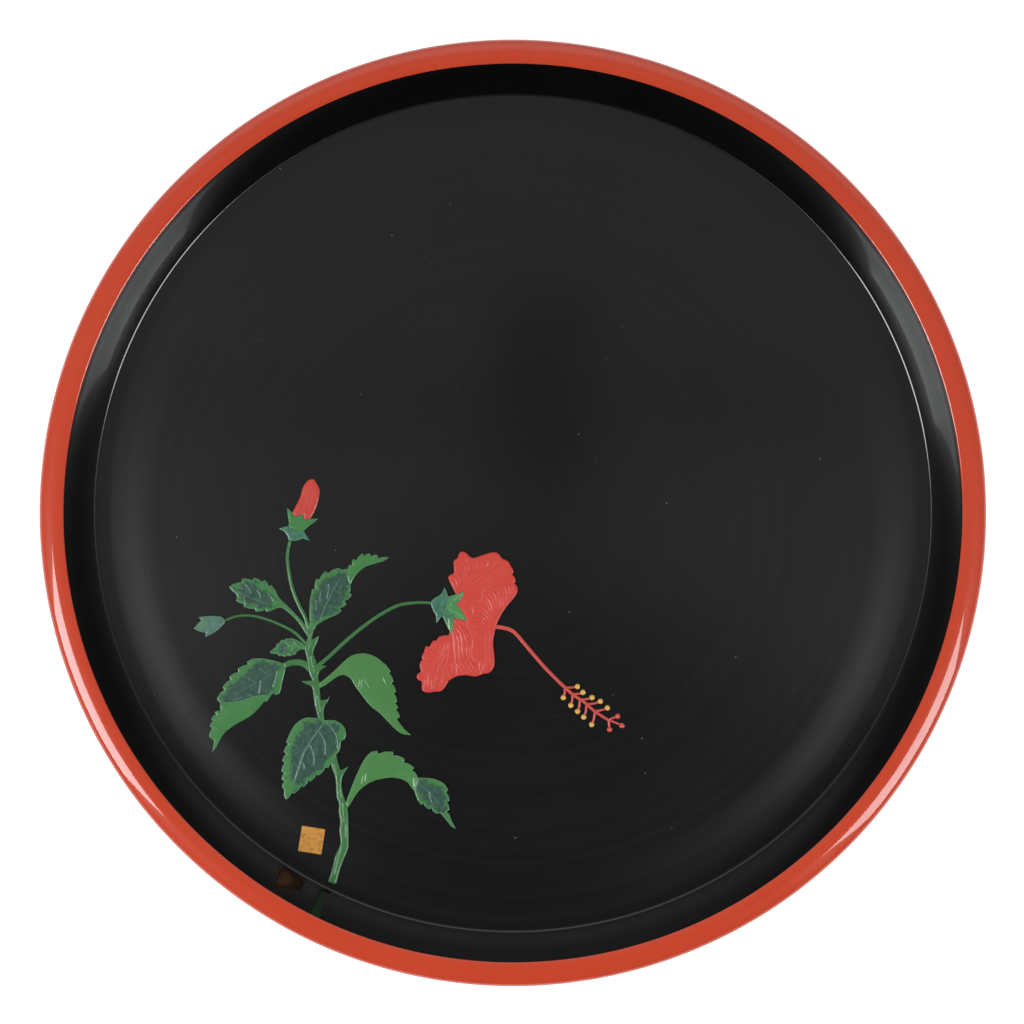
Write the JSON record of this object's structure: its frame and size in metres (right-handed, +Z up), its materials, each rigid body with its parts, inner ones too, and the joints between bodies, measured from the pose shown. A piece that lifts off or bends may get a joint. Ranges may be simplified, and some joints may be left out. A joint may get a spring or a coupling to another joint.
{
  "type": "lacquered serving tray",
  "caption": "Round turned-wood serving tray, black lacquer inside and vermilion rim and outside, with a raised flowering-branch relief of cut lacquer putty glued to its floor.",
  "frame": {"origin": "centre of the foot ring's face, which rests on the table", "axes": "+Z up out of the tray; +Y to the top of the picture in the tray, +X to its right"},
  "size_m": [0.303, 0.303, 0.025],
  "materials": {
    "core_wood": "plain turned wood, all covered by lacquer",
    "black_lacquer": "black lacquer, glossy on the wall and satin on the rubbed floor",
    "vermilion_lacquer": "vermilion lacquer, glossy",
    "bright_green_putty": "lacquer and pigment putty, satin, rolled thin and cut with a knife",
    "dark_green_putty": "lacquer and pigment putty, satin, with scratched pale veins",
    "red_putty": "lacquer and pigment putty, satin, carved with fine ridges",
    "yellow_putty": "lacquer and pigment putty, satin",
    "ochre_putty": "ochre-gold putty, dull and slightly worn"
  },
  "bodies": {
    "root": {"wood_core": "core_wood", "inside_lacquer": "black_lacquer", "outside_lacquer": "vermilion_lacquer", "underside_lacquer": "vermilion_lacquer", "stem_lower": "bright_green_putty", "stem_upper": "bright_green_putty", "flower_stalk": "bright_green_putty", "top_bud_stalk": "bright_green_putty", "side_bud_stalk": "bright_green_putty", "left_leaf_stalk": "bright_green_putty", "upper_left_leaf": "dark_green_putty", "upper_right_leaf": "dark_green_putty", "upper_right_leaf_tip": "bright_green_putty", "small_left_leaf": "bright_green_putty", "left_leaf": "dark_green_putty", "left_leaf_fold": "bright_green_putty", "right_leaf": "bright_green_putty", "centre_leaf": "dark_green_putty", "lower_leaf": "bright_green_putty", "lower_leaf_tip": "dark_green_putty", "side_bud": "dark_green_putty", "top_bud_petals": "red_putty", "top_bud_calyx": "bright_green_putty", "top_bud_epicalyx": "dark_green_putty", "upper_petal": "red_putty", "front_petal": "red_putty", "middle_petal": "red_putty", "lower_petal": "red_putty", "flower_calyx": "bright_green_putty", "flower_epicalyx": "dark_green_putty", "stamen_column": "red_putty", "filaments": "red_putty", "anthers": "yellow_putty", "styles": "red_putty", "stigmas": "red_putty", "seal_plate": "ochre_putty"}
  },
  "joints": []
}
